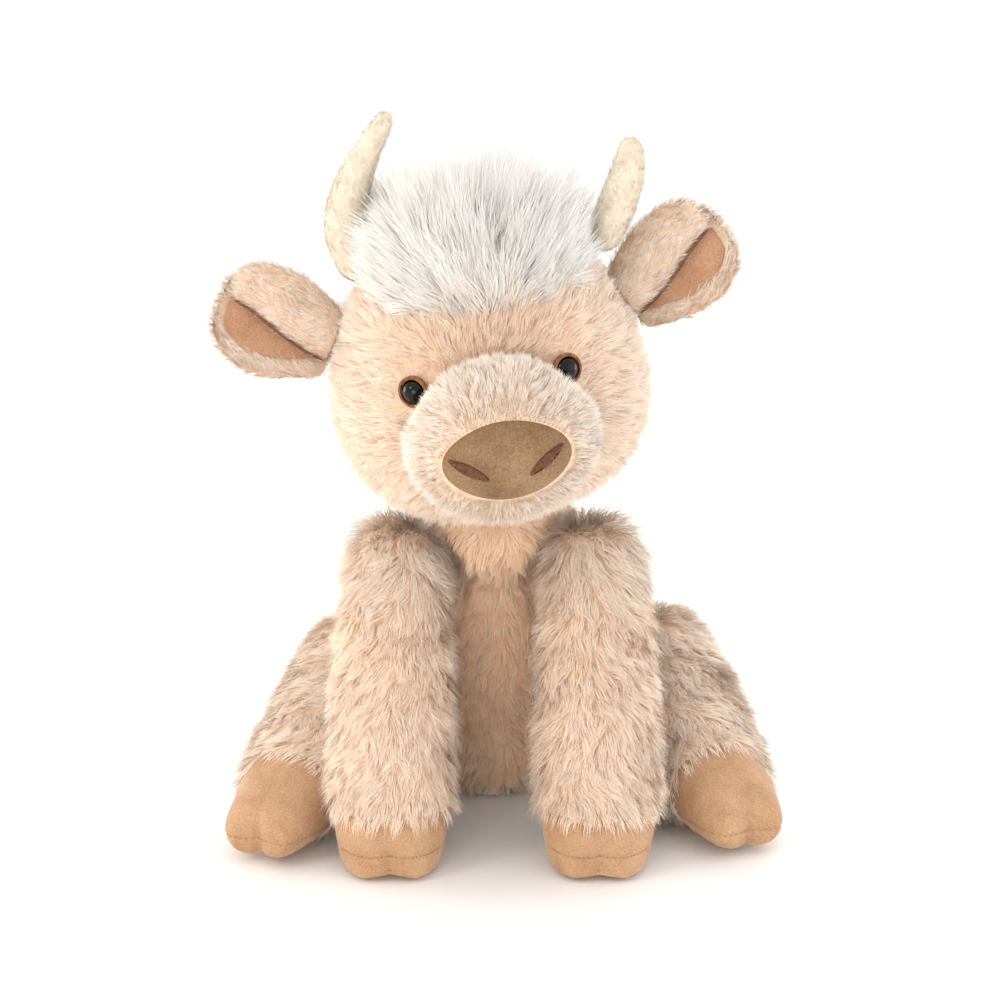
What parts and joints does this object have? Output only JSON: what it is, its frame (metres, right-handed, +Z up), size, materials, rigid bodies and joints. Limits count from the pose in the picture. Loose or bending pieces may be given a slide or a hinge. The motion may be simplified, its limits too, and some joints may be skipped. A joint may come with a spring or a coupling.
{
  "type": "plush toy calf",
  "caption": "Sitting soft-toy highland calf: fur body, shaggy forelock, two horns, two ears, tan feet, glossy eyes; neck, ears, legs and tail flex.",
  "frame": {"origin": "centre of the footprint on the surface the toy sits on", "axes": "+Z up, the toy faces -Y, its own left side is +X"},
  "size_m": [0.2193, 0.227, 0.2819],
  "materials": {
    "cream_fur": "matte",
    "long_pile": "matte",
    "horn_plush": "matte",
    "tan_minky": "matte",
    "ear_minky": "matte",
    "nose_minky": "matte",
    "brown_thread": "satin",
    "eye_black": "gloss",
    "eye_brown": "gloss",
    "washer_white": "matte",
    "fibre_filling": "matte",
    "pellet_cloth": "matte"
  },
  "bodies": {
    "torso": {"torso_left_panel": "cream_fur", "torso_right_panel": "cream_fur", "chest_panel": "cream_fur", "seat_panel": "cream_fur", "torso_filling": "fibre_filling", "pellet_bag": "pellet_cloth"},
    "neck": {"neck_gusset": "cream_fur"},
    "head": {"head_left_panel": "cream_fur", "head_right_panel": "cream_fur", "face_gusset": "cream_fur", "head_back_panel": "cream_fur", "head_filling": "fibre_filling", "muzzle_panel": "cream_fur", "muzzle_filling": "fibre_filling", "nose_patch": "nose_minky", "nostril_left": "brown_thread", "nostril_right": "brown_thread", "forelock": "long_pile", "horn_left": "horn_plush", "horn_right": "horn_plush", "eye_left_dome": "eye_black", "eye_left_rim": "eye_brown", "eye_left_stem": "eye_black", "eye_left_washer": "washer_white", "eye_right_dome": "eye_black", "eye_right_rim": "eye_brown", "eye_right_stem": "eye_black", "eye_right_washer": "washer_white"},
    "ear_left": {"ear_left_back": "cream_fur", "ear_left_lining": "ear_minky"},
    "ear_right": {"ear_right_back": "cream_fur", "ear_right_lining": "ear_minky"},
    "tail": {"tail_sleeve": "cream_fur", "tail_tuft": "long_pile"},
    "front_leg_left": {"front_leg_left_outer_panel": "cream_fur", "front_leg_left_inner_panel": "cream_fur", "front_foot_left_upper": "tan_minky", "front_foot_left_sole": "tan_minky", "front_leg_left_filling": "fibre_filling"},
    "hind_leg_left": {"hind_leg_left_upper_panel": "cream_fur", "hind_leg_left_lower_panel": "cream_fur", "hind_foot_left_upper": "tan_minky", "hind_foot_left_sole": "tan_minky", "hind_leg_left_filling": "fibre_filling"},
    "front_leg_right": {"front_leg_right_outer_panel": "cream_fur", "front_leg_right_inner_panel": "cream_fur", "front_foot_right_upper": "tan_minky", "front_foot_right_sole": "tan_minky", "front_leg_right_filling": "fibre_filling"},
    "hind_leg_right": {"hind_leg_right_upper_panel": "cream_fur", "hind_leg_right_lower_panel": "cream_fur", "hind_foot_right_upper": "tan_minky", "hind_foot_right_sole": "tan_minky", "hind_leg_right_filling": "fibre_filling"}
  },
  "joints": [
    {"name": "head_turn", "type": "hinge", "parent": "torso", "child": "neck", "pos_m": [-0.0046, -0.0142, 0.121], "axis": [0, 0, 1], "range_deg": [-15, 15], "stiffness_Nm_per_rad": 3},
    {"name": "head_nod", "type": "hinge", "parent": "neck", "child": "head", "pos_m": [-0.0046, -0.0142, 0.121], "axis": [1, 0, 0], "range_deg": [-6, 8], "stiffness_Nm_per_rad": 14},
    {"name": "ear_left_flap", "type": "hinge", "parent": "head", "child": "ear_left", "pos_m": [0.04604, -0.02538, 0.20869], "axis": [0.5674, -0.4404, -0.6958], "range_deg": [-25, 25], "stiffness_Nm_per_rad": 0.04},
    {"name": "ear_right_flap", "type": "hinge", "parent": "head", "child": "ear_right", "pos_m": [-0.06472, -0.03119, 0.1931], "axis": [0.3057, 0.4861, 0.8187], "range_deg": [-25, 25], "stiffness_Nm_per_rad": 0.04},
    {"name": "front_leg_left_raise", "type": "hinge", "parent": "torso", "child": "front_leg_left", "pos_m": [0.0359, -0.0282, 0.098], "axis": [-1, 0, 0], "range_deg": [0, 35], "stiffness_Nm_per_rad": 0.8},
    {"name": "front_leg_right_raise", "type": "hinge", "parent": "torso", "child": "front_leg_right", "pos_m": [-0.0425, -0.0282, 0.098], "axis": [-1, 0, 0], "range_deg": [0, 35], "stiffness_Nm_per_rad": 0.8},
    {"name": "hind_leg_left_splay", "type": "hinge", "parent": "torso", "child": "hind_leg_left", "pos_m": [0.0644, 0.0128, 0.034], "axis": [0, 0, 1], "range_deg": [0, 25], "stiffness_Nm_per_rad": 0.8},
    {"name": "hind_leg_right_splay", "type": "hinge", "parent": "torso", "child": "hind_leg_right", "pos_m": [-0.0616, 0.0038, 0.034], "axis": [0, 0, -1], "range_deg": [0, 25], "stiffness_Nm_per_rad": 0.8},
    {"name": "tail_wag", "type": "hinge", "parent": "torso", "child": "tail", "pos_m": [-0.0076, 0.0688, 0.046], "axis": [0, 0, 1], "range_deg": [-25, 25], "stiffness_Nm_per_rad": 0.05}
  ]
}
